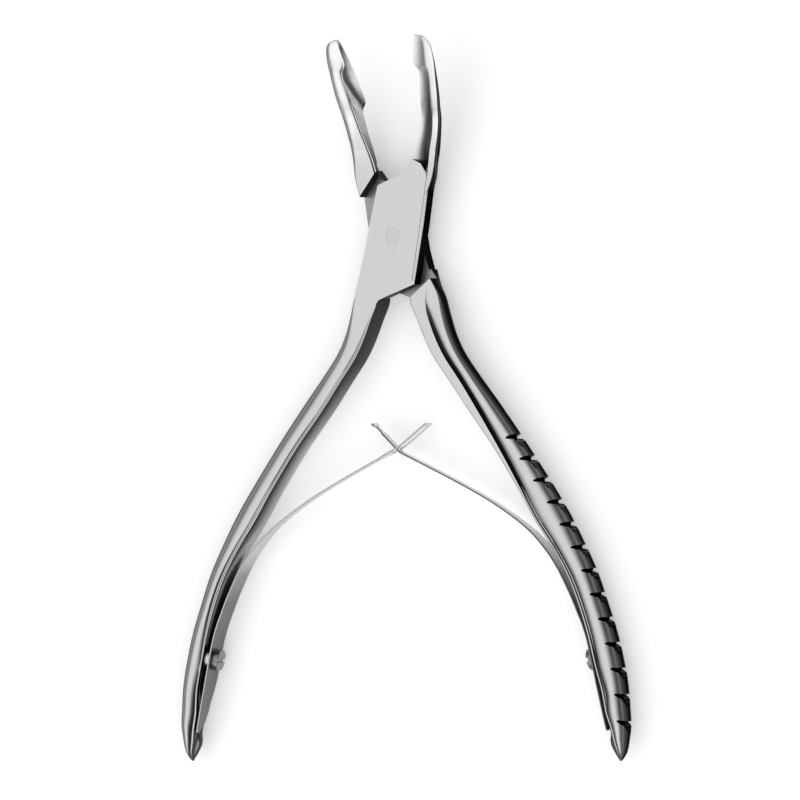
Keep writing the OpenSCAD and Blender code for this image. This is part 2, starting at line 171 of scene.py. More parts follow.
joint = {
    "width": 12, "length": 27,
    "frontOutline": [
        (-0.5, 0.4), (0.03, 0.567), (0.06, 0.645), (0.11, 0.685), (0.3, 0.66),
        (0.53, 0.548), (0.585, 0.139), (0.612, -0.354), (0.615, -0.38), (-0.048, -0.576),
        (-0.112, -0.63), (-0.25, -0.68), (-0.56, -0.6), (-0.555, -0.52), (-0.54, -0.4),
        (-0.52, -0.174), (-0.52, 0.044)],
    "backOutline": [
        (-0.44, 0.322), (0.125, 0.511), (0.25, 0.552), (0.21, 0.6), (0.3, 0.66),
        (0.53, 0.548), (0.6, 0.139), (0.612, -0.354), (0.615, -0.38), (-0.048, -0.576),
        (-0.112, -0.63), (-0.25, -0.68), (-0.53, -0.6), (-0.5, -0.52), (-0.465, -0.4),
        (-0.44, -0.174), (-0.46, 0.044)],
    "bevelled": (4, 5, 6, 7, 8),  # corners where the long bevelled edge starts
    "bevelWide": 0.55, "bevelDeep": 0.16, "lineWide": 0.24, "lineDeep": 0.14,
    "footDeep": 0.22, "footBelow": -12,  # the bevel is deeper at the plate's lower end
    "lapGap": 0.04, "spaceLow": -3, "spaceHigh": 30,
    "bores": {"left": 1.75, "right": 1.8},  # the pin is pressed into the left half
    "jawShoulder": (12.03, 43.8), "neckShoulder": (13.7, 30.2),
    "runOut": (-0.9, 12.9, 6.7),  # centre and radius of the milled arc on the jaw
}


def lapBlock(low, high, bevelHigh):
    corners = joint["frontOutline" if bevelHigh else "backOutline"]
    outline = [(x*joint["width"], y*joint["length"]) for x, y in corners]
    bm = prism(outline, low, high)
    level, step = (high if bevelHigh else low)*mm, joint["bevelWide"]*mm
    starts = [Vector(outline[k])*mm for k in joint["bevelled"]]
    ends = [Vector(outline[k + 1])*mm for k in joint["bevelled"]]
    edges = [edge for edge in bm.edges for a, b in zip(starts, ends)
             if all(abs(v.co.z - level) < nearly for v in edge.verts)
             and min((edge.verts[0].co.xy - a).length + (edge.verts[1].co.xy - b).length,
                     (edge.verts[0].co.xy - b).length + (edge.verts[1].co.xy - a).length) < nearly]
    bmesh.ops.bevel(bm, geom=edges, offset=step, segments=1, profile=0.5,
                    affect="EDGES", material=-1)
    side = 1 if bevelHigh else -1  # the cut is wide and shallow, so its foot moves up the wall
    for vert in bm.verts:
        if abs(vert.co.z - (level - side*step)) < nearly:
            deep = joint["footDeep" if vert.co.y < joint["footBelow"]*mm else "bevelDeep"]
            vert.co.z = level - side*deep*mm
    return finishMesh(bm, "lapBlock")


def edgeLine():  # fine line that the belt leaves where the bevel starts
    corners = [Vector((x*joint["width"], y*joint["length"]))
               for x, y in joint["frontOutline"][5:9]]
    w, d = joint["lineWide"]/2, joint["bevelWide"]
    inner, outer = [c + Vector((-d - w, 0)) for c in corners], [c + Vector((w - d, 0))
                                                                for c in corners]
    outline = [tuple(c) for c in inner[:3] + outer[2::-1]]
    return finishMesh(prism(outline, plateTop - joint["lineDeep"], plateTop + 1), "edgeLine")


def lapSpace(low, high):  # room for the other lap, between the slanted shoulders
    reach, points = 30, []
    for (r, slant), side in ((joint["jawShoulder"], 1), (joint["neckShoulder"], -1)):
        a = math.radians(slant)
        foot = Vector((math.sin(a), math.cos(a)))*r*side
        run = Vector((math.cos(a), -math.sin(a)))*reach*side
        points += [foot - run, foot + run]
    return finishMesh(prism([tuple(p) for p in points], low, high), "lapSpace")


def frontFlat(withArc):  # the ground flat over the joint, with the cutter's arc on one jaw
    x, y, r = joint["runOut"]
    strip = finishMesh(slab(y - around["handles"], y, plateTop, around["over"] + 1), "strip")
    if not withArc:
        return strip
    disc = barBetween((x, y, plateTop), (x, y, around["over"]), r, 160)
    return combine(finishMesh(disc, "runOut"), strip, "UNION")


handle = {
    "length": 131.85, "reach": 33.1, "width": 6, "thick": 8.8, "hollow": 1.8,
    "stepsPerStation": 8, "grooveHalf": 0.34, "grooveFull": 0.2,
    "rimDeep": 1.5, "rimDeepFrom": 0.3, "rimMost": 0.96,
    "flareFade": 2.4,  # the flare has run out this far in from the edge, in mm
    # down the inner wall: share of its height, and share of the hollow's depth
    "wall": ((0.86, 0.18), (0.74, 0.45), (0.58, 0.74), (0.4, 0.92), (0.2, 0.99)),
    "y": (0.072, 0.102, 0.125, 0.155, 0.193, 0.231, 0.277, 0.334, 0.41, 0.493, 0.551,
          0.609, 0.664, 0.721, 0.774, 0.83, 0.872, 0.913, 0.94, 0.9645, 0.985, 0.996, 1),
    "outer": (0.184, 0.193, 0.211, 0.224, 0.245, 0.286, 0.366, 0.474, 0.606, 0.739, 0.824,
              0.89, 0.941, 0.971, 0.994, 1, 0.993, 0.973, 0.957, 0.927, 0.895, 0.862,
              0.842),
    "widths": (0.783, 0.833, 1.017, 0.967, 0.933, 0.93, 0.942, 1.01, 0.953, 0.962,
               0.987, 0.85, 0.768, 0.732, 0.758, 0.787, 0.768, 0.775, 0.7, 0.56, 0.35,
               0.16, 0.06),
    "thicks": (1.0, 1.0, 1.0, 0.995, 0.99, 0.985, 0.985, 0.985, 0.985, 0.985, 0.985,
               0.985, 0.985, 0.985, 0.985, 0.985, 0.97, 0.92, 0.85, 0.71, 0.48, 0.24,
               0.1),
    "hollows": (0, 0, 0, 0, 0, 0, 0, 0, 0.02, 0.06, 0.2, 0.6, 0.9, 1, 1, 1, 0.95, 0.4,
                -0.12, -0.6, -0.4, -0.12, -0.04),
    # rounding of the inner rim in mm: sharp along the grip, full at the solid tip
    "rimRounds": (0.28, 0.28, 0.28, 0.28, 0.28, 0.28, 0.28, 0.28, 0.28, 0.28, 0.28, 0.28,
                  0.28, 0.28, 0.28, 0.32, 0.45, 0.6, 0.7, 0.7, 0.5, 0.3, 0.1),
}

handleFace = {
    # one wide round band, and a fine line close to the inner rim
    "left": {
        "crest": (0.06, 0.08, 0.12, 0.3, 0.5, 0.6, 0.66, 0.7, 0.7, 0.7, 0.7, 0.7, 0.68,
                  0.66, 0.62, 0.58, 0.54, 0.5, 0.48, 0.47, 0.46, 0.46, 0.46),
        "crease": (0.95, 0.95, 0.95, 0.94, 0.93, 0.92, 0.915, 0.905, 0.89, 0.87, 0.86,
                   0.865, 0.87, 0.9, 0.95, 0.95, 0.9, 0.85, 0.82, 0.8, 0.8, 0.8, 0.8),
        "grooves": (0, 0, 0, 0.03, 0.14, 0.2, 0.22, 0.22, 0.22, 0.22, 0.22, 0.22, 0.22,
                    0.18, 0.08, 0, 0, 0, 0, 0, 0, 0, 0),
        "falls": (0, 0, 0, 0, 0.04, 0.06, 0.08, 0.1, 0.12, 0.14, 0.16, 0.18, 0.24, 0.34,
                  0.5, 0.65, 0.8, 0.95, 1, 0.85, 0.5, 0.2, 0.05),
        "bands": (1, 1, 1, 0.995, 0.985, 0.98, 0.98, 0.975, 0.97, 0.965, 0.96, 0.955,
                  0.94, 0.92, 0.885, 0.85, 0.813, 0.765, 0.733, 0.728, 0.763, 0.81, 0.9),
        "powers": (8, 7, 5, 3.6, 2.8, 2.5, 2.3, 2.2, 2.2, 2.2, 2.2, 2.2, 2.2, 2.2, 2.2,
                   2.2, 2.2, 2.1, 2.1, 2, 2, 2, 2),
        "flares": (0,)*23, "lips": (0,)*23,
    },
    # a narrow bead outside, a deep line that wanders inwards, and a lower flat band
    "right": {
        "crest": (0.06, 0.06, 0.1, 0.15, 0.18, 0.2, 0.24, 0.3, 0.36, 0.42, 0.46, 0.48,
                  0.48, 0.48, 0.48, 0.48, 0.48, 0.48, 0.48, 0.48, 0.47, 0.46, 0.46),
        "crease": (0.2, 0.26, 0.36, 0.46, 0.48, 0.5, 0.53, 0.62, 0.76, 0.86, 0.915, 0.93,
                   0.93, 0.925, 0.92, 0.91, 0.88, 0.84, 0.82, 0.8, 0.8, 0.8, 0.8),
        "grooves": (0, 0, 0.05, 0.26, 0.4, 0.46, 0.48, 0.5, 0.5, 0.5, 0.46, 0.44, 0.42,
                    0.4, 0.38, 0.34, 0.24, 0.06, 0, 0, 0, 0, 0),
        "falls": (0, 0, 0.08, 0.4, 0.55, 0.62, 0.66, 0.7, 0.72, 0.7, 0.64, 0.6, 0.58,
                  0.56, 0.54, 0.54, 0.58, 0.64, 0.66, 0.6, 0.35, 0.15, 0.05),
        "bands": (1, 1, 1, 1, 0.99, 0.98, 0.97, 0.96, 0.95, 0.94, 0.93, 0.93, 0.93, 0.93,
                  0.93, 0.92, 0.9, 0.87, 0.83, 0.82, 0.82, 0.82, 0.82),
        "powers": (7, 7, 5, 3.6, 3.2, 3, 2.8, 2.6, 2.5, 2.4, 2.3, 2.2, 2.2, 2.2, 2.2,
                   2.2, 2.2, 2.1, 2.1, 2, 2, 2, 2),
        # how far, in mm, its front stands out over the back, and its rim over the spring
        "flares": (0, 1.1, 1.35, 1.1, 0.85, 0.7, 0.6, 0.5, 0.45, 0.4, 0.3, 0.2, 0.1, 0, 0,
                   0, 0, 0, 0, 0, 0, 0, 0),
        "lips": (0, 0, 0, 0, 0, 0, 0, 0.1, 0.5, 0.9, 1.15, 1.2, 1.2, 1.2, 1.2, 1.1, 0.8,
                 0.4, 0.1, 0, 0, 0, 0),
    },
}


def handleEdge(inner):  # outer edge or rim of the handle against the distance below the pivot
    last = (len(handle["y"]) - 1)*4
    return [(handle["length"]*along(handle["y"], i/4),
             handle["reach"]*along(handle["outer"], i/4)
             - (handle["width"]*along(handle["widths"], i/4) if inner else 0))
            for i in range(last + 1)]


def roundEdge(crest, power, h):  # from the edge up to the crest, in 12 steps
    turns = [math.radians(7.5*k) for k in range(13)]
    return [(crest*(1 - math.cos(a)**power), h*math.sin(a)**power) for a in turns]


def halfFace(look, s, width, h, round_):  # height over the mid-plane from edge to rim
    crest, crease = along(look["crest"], s), along(look["crease"], s)
    groove, fall = max(0, along(look["grooves"], s)), max(0, along(look["falls"], s))
    level, power = h*along(look["bands"], s), 2/along(look["powers"], s)
    half = handle["grooveHalf"]/width*min(1, groove/handle["grooveFull"])
    crease = min(crease, 1 - round_ - half - 0.02)
    foot = max(crease - half, crest + 0.01)
    points = roundEdge(crest, power, h)
    for k in range(1, 8):
        points.append((crest + (foot - crest)*k/7, h - fall*(k/7)**2))
    low = min(h - fall, level) - groove
    points.append((foot + (crease - foot)*0.6, low + (h - fall - low)*0.14))
    points.append((crease, low))
    points.append((crease + half*0.4, low + (level - low)*0.2))
    points.append((crease + half, level))
    points.append((crease + half + (1 - round_ - crease - half)*0.5, level))
    return points, level


def handleSection(s, side):
    width = handle["width"]*along(handle["widths"], s)
    h = handle["thick"]/2*along(handle["thicks"], s)
    hollow = handle["hollow"]*along(handle["hollows"], s)/width
    round_ = along(handle["rimRounds"], s)/width
    other = {"left": "right", "right": "left"}[side]
    lip, flare = (max(0, along(handleFace[side][key], s)) for key in ("lips", "flares"))
    rings = []
    for look, more in ((handleFace[side], lip), (handleFace[other], 0)):  # one forging, turned
        wide = width + more
        half, level = halfFace(look, s, wide, h, round_)
        rim = round_*width
        deep = min(rim*(handle["rimDeep"] if rim > handle["rimDeepFrom"] else 1),
                   level*handle["rimMost"])
        for k in range(7):
            a = math.radians(15*k)
            half.append((1 - round_*(1 - math.sin(a)), level - deep*(1 - math.cos(a))))
        half = [(u*wide, v) for u, v in half]
        for share, depth in handle["wall"]:
            half.append(((1 - hollow*depth)*width, (level - deep)*share))
        rings.append(half)
    x, y = handle["reach"]*along(handle["outer"], s), -handle["length"]*along(handle["y"], s)
    fade = handle["flareFade"]
    upper = [(p - flare*max(0, 1 - p/fade) - x, y, midPlane + v) for p, v in rings[0]]
    middle = [((1 - hollow)*width - x, y, midPlane)]
    lower = [(p - flare*max(0, 1 - p/fade)*(1 - v/h) - x, y, midPlane - v)
             for p, v in reversed(rings[1][1:])]
    return upper + middle + lower


def handleBar(side):
    count = (len(handle["y"]) - 1)*handle["stepsPerStation"]
    return finishMesh(sweep([handleSection(i/handle["stepsPerStation"], side)
                             for i in range(count + 1)]), "handleBar")


jaw = {
    "length": 48, "width": 6.25, "thick": 9.0, "rise": 14.35, "scoop": 2.2,
    "relief": 2.1, "gap": 0.1, "stepsPerStation": 8,
    "flatUntil": 12, "flatFade": 0.012,  # the front follows the ground plate up to here
    "y": (0.185, 0.25, 0.32, 0.385, 0.456, 0.53, 0.595, 0.635, 0.665, 0.7, 0.745, 0.79,
          0.825, 0.85, 0.88, 0.915, 0.948, 0.975, 0.992, 1),
    "outer": (0.99, 1.03, 1.065, 1.03, 0.99, 0.995, 0.985, 0.97, 0.958, 0.945, 0.91, 0.865,
              0.825, 0.8, 0.765, 0.7, 0.63, 0.53, 0.38, 0.22),
    "frontRelief": (0.3, 0.3, 0.3, 0.38, 0.6, 0.85, 0.93, 0.92, 0.9, 0.87, 0.85, 0.82,
                    0.62, 0.12, 0, 0, 0, 0, 0, 0),
    "backRelief": (1.1, 1.2, 1.3, 0.85, 0.83, 0.9, 0.85, 0.7, 0.12, 0, 0, 0, 0, 0, 0, 0, 0,
                   0, 0, 0),
    "z": (0, 0.004, 0.042, 0.085, 0.123, 0.178, 0.246, 0.312, 0.372, 0.438, 0.517, 0.597,
          0.66, 0.708, 0.764, 0.83, 0.889, 0.944, 0.983, 1),
    "thicks": (1, 1, 0.985, 0.92, 0.835, 0.805, 0.8, 0.79, 0.78, 0.765, 0.73, 0.68, 0.635,
               0.6, 0.56, 0.5, 0.42, 0.32, 0.22, 0.12),
    "innerFall": 0.09,
    "scoops": (0, 0, 0, 0, 0, 0, 0.02, 0.15, 0.4, 0.65, 0.85, 1, 1, 0.97, 0.9, 0.75,
               0.5, 0.2, 0.02, 0),
    # the round face: how far in from the outer edge the rounding reaches, and how round it is
    "crest": (0.1, 0.1, 0.14, 0.26, 0.38, 0.48, 0.54, 0.57, 0.58, 0.58, 0.58, 0.58, 0.58,
              0.56, 0.54, 0.52, 0.5, 0.5, 0.5, 0.5),
    "powers": (7, 6, 4, 3, 2.6, 2.3, 2.2, 2.2, 2.2, 2.2, 2.2, 2.2, 2.2, 2.2, 2.2, 2.2,
               2.1, 2, 2, 2),
    "creases": (0, 0.1, 0.3, 0.4, 0.45, 0.5, 0.5, 0.5, 0.5, 0.48, 0.44, 0.36, 0.24, 0.12,
                0.04, 0, 0, 0, 0, 0),  # depth in mm of the line by the inner edge
    # the fluted face: place of the ridge and depth of the flute, as shares
    "ridge": (0.16, 0.18, 0.24, 0.28, 0.3, 0.31, 0.33, 0.35, 0.37, 0.38, 0.4, 0.41, 0.42,
              0.42, 0.42, 0.42, 0.42, 0.42, 0.42, 0.42),
    "flute": (0, 0.1, 0.45, 0.68, 0.72, 0.66, 0.58, 0.52, 0.48, 0.44, 0.4, 0.37, 0.35,
              0.33, 0.33, 0.34, 0.36, 0.36, 0.34, 0.3),
    "tipDrop": {"left": 0.2, "right": 1.1}, "dropFrom": 0.745, "dropOver": 0.255,
    # the fluted face's outer edge: rounding in mm and the share of height where it starts,
    # overhang in mm and the station where it is full
    "edge": 0.4, "edgeFrom": 0.25, "lean": 1.3, "leanFull": 3,
    "cupPowers": (2.6, 0.6), "flutePower": 2.2,
    # the line by the inner edge: place across the face, and share of its depth
    "creaseFrom": 0.86, "creaseLine": ((0.9, 1), (0.945, 1.05), (1, 0.35)),
    "rootCrest": (0.7, 0.68, 0.62, 0.56), "rootPowers": (1.15, 1.25, 1.5, 1.9),
}


def roundFace(s, width, h, behind):  # points from the outer edge to the inner one
    crests = jaw["rootCrest"] + jaw["crest"][4:] if behind else jaw["crest"]
    powers = jaw["rootPowers"] + jaw["powers"][4:] if behind else jaw["powers"]
    crest, power = along(crests, s), 2/along(powers, s)
    points = roundEdge(crest, power, h)
    for k in range(1, 8):
        points.append((crest + (jaw["creaseFrom"] - crest)*k/7,
                       h*(1 - jaw["innerFall"]*(0.8*k/7)**2)))
    low = 0 if behind else max(0, along(jaw["creases"], s))
    for u, deep in jaw["creaseLine"]:
        points.append((u, h*(1 - jaw["innerFall"]*u*u) - low*deep))
    return points


def flutedFace(s, width, h, behind):
    ridge, flute, edge = along(jaw["ridge"], s), along(jaw["flute"], s), jaw["edge"]/width
    points, low = [(0, 0), (0, h*0.12)], jaw["edgeFrom"]
    for k in range(8):
        a = math.radians(90*k/7)
        points.append((edge*(1 - math.cos(a)), h*(low + (1 - low)*math.sin(a))))
    for k in range(1, 4):
        points.append((edge + (ridge - edge)*k/3, h))
    for k in range(1, 11):
        t = k/10
        points.append((ridge + (1 - ridge)*t, h*(1 - flute*(1 - (1 - t)**jaw["flutePower"]))))
    return points


def jawSection(s, fluted):
    share = along(jaw["y"], s)
    drop = jaw["tipDrop"]["left" if fluted else "right"]
    y = jaw["length"]*share - drop*(max(0, share - jaw["dropFrom"])/jaw["dropOver"])**2
    outer = jaw["width"]*along(jaw["outer"], s)
    front = jaw["gap"] + jaw["relief"]*max(0, along(jaw["frontRelief"], s))
    back = jaw["gap"] + jaw["relief"]*max(0, along(jaw["backRelief"], s))
    h = jaw["thick"]/2*along(jaw["thicks"], s)
    z = midPlane + jaw["rise"]*along(jaw["z"], s)
    scoop = jaw["scoop"]*max(0, along(jaw["scoops"], s))
    flatTop = plateTop + jaw["flatFade"]*max(0, y - jaw["flatUntil"])**2
    faces = (flutedFace, roundFace) if fluted else (roundFace, flutedFace)
    upper = faces[0](s, outer - front, min(h, flatTop - z), False)
    under = faces[1](s, outer - back, h, fluted)
    lean = jaw["lean"]*min(1, s/jaw["leanFull"]) if fluted else 0
    points = [(outer - u*(outer - front) + lean*(1 - u)*v/h, y, z + v) for u, v in upper]
    top, bottom = upper[-1][1], under[-1][1]
    for k in range(1, 14):  # down the inner side, through the cup
        t = k/14
        v = 1 - 2*t
        deep = scoop*max(0, 1 - abs(v)**jaw["cupPowers"][0])**jaw["cupPowers"][1]
        points.append((front + (back - front)*t + deep, y, z + top + (-bottom - top)*t))
    points += [(outer - u*(outer - back), y, z - v) for u, v in reversed(under[1:])]
    return points


def jawBar(fluted):
    count = (len(jaw["y"]) - 1)*jaw["stepsPerStation"]
    return finishMesh(sweep([jawSection(i/jaw["stepsPerStation"], fluted)
                             for i in range(count + 1)]), "jawBar")


notch = {
    "count": 13, "start": 51.9, "pitch": 5.58, "spread": 0.0055, "chord": 2.5,
    "low": -3, "high": 12,
    # place along the edge, and distance outside it, round one cut
    "outline": [(-0.1, 1.4), (-0.02, 0.0), (-0.36, -1.1), (-0.42, -1.75), (-0.1, -2.0),
                (0.3, -1.75), (0.62, -1.1), (1.0, -0.55), (1.6, -0.2), (2.4, -0.02),
                (3.2, 0.06), (3.6, 1.4)],
}
# where each leaf is screwed to its handle, in mm
seat = {"y": 107.2, "stand": 1.55, "leafThick": 0.4, "gap": 0.05, "boss": 5.6,
        "hole": 2.4, "depth": 4.2, "bossDeep": 1.96, "clear": 2}


def joinMeshes(whole, piece):  # one mesh from two that don't touch
    if whole is None:
        return piece
    bm = bmesh.new()
    bm.from_mesh(whole.data)
    bm.from_mesh(piece.data)
    bm.to_mesh(whole.data)
    bm.free()
    bpy.data.objects.remove(piece)
    return whole


def notchCutters():
    edge, whole = handleEdge(False), None
    for i in range(notch["count"]):
        y = notch["start"] + notch["pitch"]*(i + notch["spread"]*i*i)
        a, b = (Vector((-lookup(edge, y + d), -(y + d)))
                for d in (-notch["chord"], notch["chord"]))
        down = (b - a).normalized()
        out = Vector((down.y, -down.x))
        if out.x > 0:
            out = -out
        corner = Vector((-lookup(edge, y), -y))
        points = [tuple(corner + down*t + out*n) for t, n in notch["outline"]]
        cut = prism(points, notch["low"], notch["high"])
        whole = joinMeshes(whole, finishMesh(cut, "notchCut"))
    return whole


def seatX():
    return lookup(handleEdge(True), seat["y"]) - seat["stand"]


def half(front):
    side = "left" if front else "right"
    low, high = (midPlane, plateTop) if front else (0, midPlane - joint["lapGap"])
    body = handleBar(side)
    combine(body, jawBar(front), "UNION")
    bossX = seatX() + seat["leafThick"]/2 + seat["gap"]
    boss = barBetween((-bossX, -seat["y"], midPlane),
                      (-bossX - seat["stand"] - seat["bossDeep"], -seat["y"], midPlane),
                      seat["boss"]/2)
    combine(body, finishMesh(boss, "boss"), "UNION")
    back = slab(-around["handles"], around["jaws"], -around["under"], 0)
    combine(body, finishMesh(back, "backFlat"), "DIFFERENCE")
    combine(body, frontFlat(front), "DIFFERENCE")
    space = ((joint["spaceLow"], midPlane) if front
             else (midPlane - joint["lapGap"], joint["spaceHigh"]))
    combine(body, lapSpace(*space), "DIFFERENCE")
    combine(body, lapBlock(low, high, front), "UNION")
    if front:
        combine(body, edgeLine(), "DIFFERENCE")
    hole = barBetween((-bossX + seat["clear"], -seat["y"], midPlane),
                      (-bossX - seat["depth"], -seat["y"], midPlane), seat["hole"]/2)
    combine(body, finishMesh(hole, "hole"), "DIFFERENCE")
    if not front:  # only the right handle is serrated
        combine(body, notchCutters(), "DIFFERENCE")
    bore = barBetween((0, 0, -2), (0, 0, 12), joint["bores"][side], 96)
    combine(body, finishMesh(bore, "bore"), "DIFFERENCE")
    return body


turnLeft = Matrix.Rotation(-restAngle, 4, "Z")
turnRight = Matrix.Rotation(restAngle, 4, "Z") @ Matrix.Scale(-1, 4, (1, 0, 0))


def place(piece, name, body, node):
    piece.name = name
    if body:
        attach(piece, body)
    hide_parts(node)
    print("made", name, len(piece.data.polygons), "faces")
    return piece


leftHalf = place(polish(half(True), turn=turnLeft), "leftHalfSteel",
                 "left_half", "left_member")
rightHalf = place(polish(half(False), turn=turnRight), "rightHalfSteel",
                  "right_half", "right_member")


spring = {
    "thick": 0.4, "seatWidth": 7.4, "freeWidth": 2.8, "hole": 1.4, "edge": 0.09,
    "leftCross": handle["length"]*0.377, "rightCross": handle["length"]*0.3872,
    "dx": (0, 0, 0, 0, 0.0013, 0.012, 0.027, 0.0446, 0.0743, 0.107, 0.1607, 0.2444, 0.355,
           0.482, 0.6252, 0.8007, 1),
    "dy": (-0.3, -0.2, -0.095, 0, 0.0774, 0.146, 0.198, 0.258, 0.3354, 0.404, 0.48, 0.566,
           0.6485, 0.729, 0.8084, 0.8996, 1),
    "widths": (1, 0.6, 0.96, 1, 1, 1, 1, 1, 0.97, 0.88, 0.64, 0.3, 0.1, 0.04, 0, 0, 0),
    "lowEnd": ((0, 0.12), (0.03, 0.22), (0.08, 0.31), (0.15, 0.41), (0.25, 0.5),
               (0.36, 0.57), (0.48, 0.63), (0.6, 0.68), (0.7, 0.72)),
    "forkLength": 8.7, "forkWidth": 4.8, "forkSlope": 38.5, "slotWidth": 3.3,
    "slotFrom": -0.32, "slotTo": 0.88,
    "tongueLength": 9.7, "tongueSlope": 45, "tongueNeck": 0.55, "headWidth": 4,
    "stepsPerStation": 5, "forkBack": 0.8, "slotReach": 3,
    "narrowFrom": 3, "narrowLift": 0.4,  # mm below the screw, and rise for each mm narrowed
}


def crossing(y):
    return Vector((-y*math.sin(restAngle), y*math.cos(restAngle)))


def leafPoint(s, y):
    end, x = crossing(y), seatX()
    return Vector((x - (x - end.x)*along(spring["dx"], s),
                   seat["y"] - (seat["y"] - end.y)*along(spring["dy"], s)))


def endPoint(y, slope, d):
    a = math.radians(slope) + restAngle
    return crossing(y) - Vector((math.cos(a), math.sin(a)))*d


def leafRoute(y):  # points and widths from the lower end up to the crossing
    low = leafPoint(0, y)
    route = [(low - Vector((0, d*spring["seatWidth"])), spring["seatWidth"]*w)
             for d, w in spring["lowEnd"]]
    extra = spring["seatWidth"] - spring["freeWidth"]
    steps = spring["stepsPerStation"]
    for i in range(steps, (len(spring["dx"]) - 1)*steps - 2):
        route.append((leafPoint(i/steps, y),
                      spring["freeWidth"] + extra*max(0, along(spring["widths"], i/steps))))
    return route


def leafSection(route, i):  # a flat strip with slightly broken edges
    a, b = route[max(i - 1, 0)][0], route[min(i + 1, len(route) - 1)][0]
    run = (b - a).normalized()
    side, (at, wide) = Vector((-run.y, run.x)), route[i]
    t, e = spring["thick"]/2, spring["edge"]
    # the lower end is narrowed from behind, so its front edge runs on straight
    below = at.y > seat["y"] + spring["narrowFrom"]
    narrowed = max(0, spring["seatWidth"] - wide) if below else 0
    lift = midPlane + spring["narrowLift"]*narrowed
    ring = [(t, wide/2 - e), (t - e, wide/2), (e - t, wide/2), (-t, wide/2 - e),
            (-t, e - wide/2), (e - t, -wide/2), (t - e, -wide/2), (t, e - wide/2)]
    return [(-(at.x + side.x*d), -(at.y + side.y*d), lift + w) for d, w in ring]


def leafSpring(forked):
    y = spring["leftCross" if forked else "rightCross"]
    route = leafRoute(y)
    if forked:
        slope, length = spring["forkSlope"], spring["forkLength"]
        stations = [(-0.8, 0), (-0.7, 0.4), (-0.6, 0.85), (-0.5, 1), (-0.3, 1), (-0.1, 1),
                    (0, 1), (0.2, 1), (0.4, 1), (0.6, 1), (0.8, 1), (0.9, 1), (0.95, 0.96),
                    (0.985, 0.88), (1, 0.8)]
        for q, w in stations:
            at = (leafPoint(len(spring["dx"]) - 1 + q*spring["forkBack"], y) if q < 0
                  else endPoint(y, slope, q*length))
            route.append((at, spring["freeWidth"]
                          + w*(spring["forkWidth"] - spring["freeWidth"])))
    else:
        slope, length = spring["tongueSlope"], spring["tongueLength"]
        neck, head = spring["tongueNeck"], spring["headWidth"]/spring["freeWidth"]
        for q, w in ((0, 1), (0.2, 1), (0.4, 1), (0.55, 1), (0.64, 0.98), (0.68, 0.86),
                     (0.71, neck), (0.8, neck), (0.87, neck), (0.9, head*0.9), (0.92, head),
                     (0.97, head), (1, head*0.92)):
            route.append((endPoint(y, slope, q*length), w*spring["freeWidth"]))
    leaf = finishMesh(sweep([leafSection(route, i) for i in range(len(route))]), "leaf")
    x, clear = seatX(), seat["clear"]
    hole = barBetween((-x - clear, -seat["y"], midPlane), (-x + clear, -seat["y"], midPlane),
                      spring["hole"])
    combine(leaf, finishMesh(hole, "leafHole"), "DIFFERENCE")
    if forked:
        a = math.radians(slope) + restAngle
        run, side = Vector((math.cos(a), math.sin(a))), Vector((-math.sin(a), math.cos(a)))
        near, far, reach = spring["slotFrom"], spring["slotTo"], spring["slotReach"]
        corners = [-crossing(y) + run*length*q + side*r
                   for q, r in ((near, -reach), (far, -reach), (far, reach), (near, reach))]
        slot = prism([tuple(c) for c in corners], midPlane - spring["slotWidth"]/2,
                     midPlane + spring["slotWidth"]/2)
        combine(leaf, finishMesh(slot, "leafSlot"), "DIFFERENCE")
    return leaf


leftLeaf = place(polish(leafSpring(True), 30, turnLeft), "leftLeafSpring", None,
                 "left_leaf_spring")
rightLeaf = place(polish(leafSpring(False), 30, turnRight), "rightLeafSpring", None,
                  "right_leaf_spring")
for leaf, side, sign in ((leftLeaf, "left", -1), (rightLeaf, "right", 1)):
    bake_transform(leaf)


screw = {"head": 5.2, "high": 1.5, "bevel": 0.28, "shank": 2.4, "slotWide": 0.8,
         "slotDeep": 0.6, "slotReach": 4, "sunk": 0.2, "clear": 1}


def springScrew():
    x = -(seatX() - seat["leafThick"]/2 - seat["gap"])
    bm = barBetween((x, -seat["y"], midPlane), (x + screw["high"], -seat["y"], midPlane),
                    screw["head"]/2, 72)
    rim = [e for e in bm.edges if all(abs(v.co.x - (x + screw["high"])*mm) < nearly
                                      for v in e.verts)]
    bmesh.ops.bevel(bm, geom=rim, offset=screw["bevel"]*mm, segments=4, profile=0.5,
                    affect="EDGES", material=-1)
    head = finishMesh(bm, "screwHead")
    depth = seat["leafThick"] + 2*seat["gap"] + seat["depth"]
    combine(head, finishMesh(barBetween((x + screw["sunk"], -seat["y"], midPlane),
                                        (x - depth, -seat["y"], midPlane),
                                        screw["shank"]/2), "shank"), "UNION")
    top, w = x + screw["high"], screw["slotWide"]/2
    foot, over = top - screw["slotDeep"], top + screw["clear"]
    cut = prism([(foot, -seat["y"] - w), (over, -seat["y"] - w), (over, -seat["y"] + w),
                 (foot, -seat["y"] + w)],
                midPlane - screw["slotReach"], midPlane + screw["slotReach"])
    return combine(head, finishMesh(cut, "driverSlot"), "DIFFERENCE")


leftScrew = place(polish(springScrew(), 30, turnLeft), "leftSpringScrew", "left_half",
                  "left_spring_screw")
rightScrew = place(polish(springScrew(), 30, turnRight), "rightSpringScrew", "right_half",
                   "right_spring_screw")


# ground off with the plate, a little askew
pin = {"radius": 1.75, "bevel": 0.05, "lean": 0.7, "leanFrom": 1.2, "leanShare": 0.6}


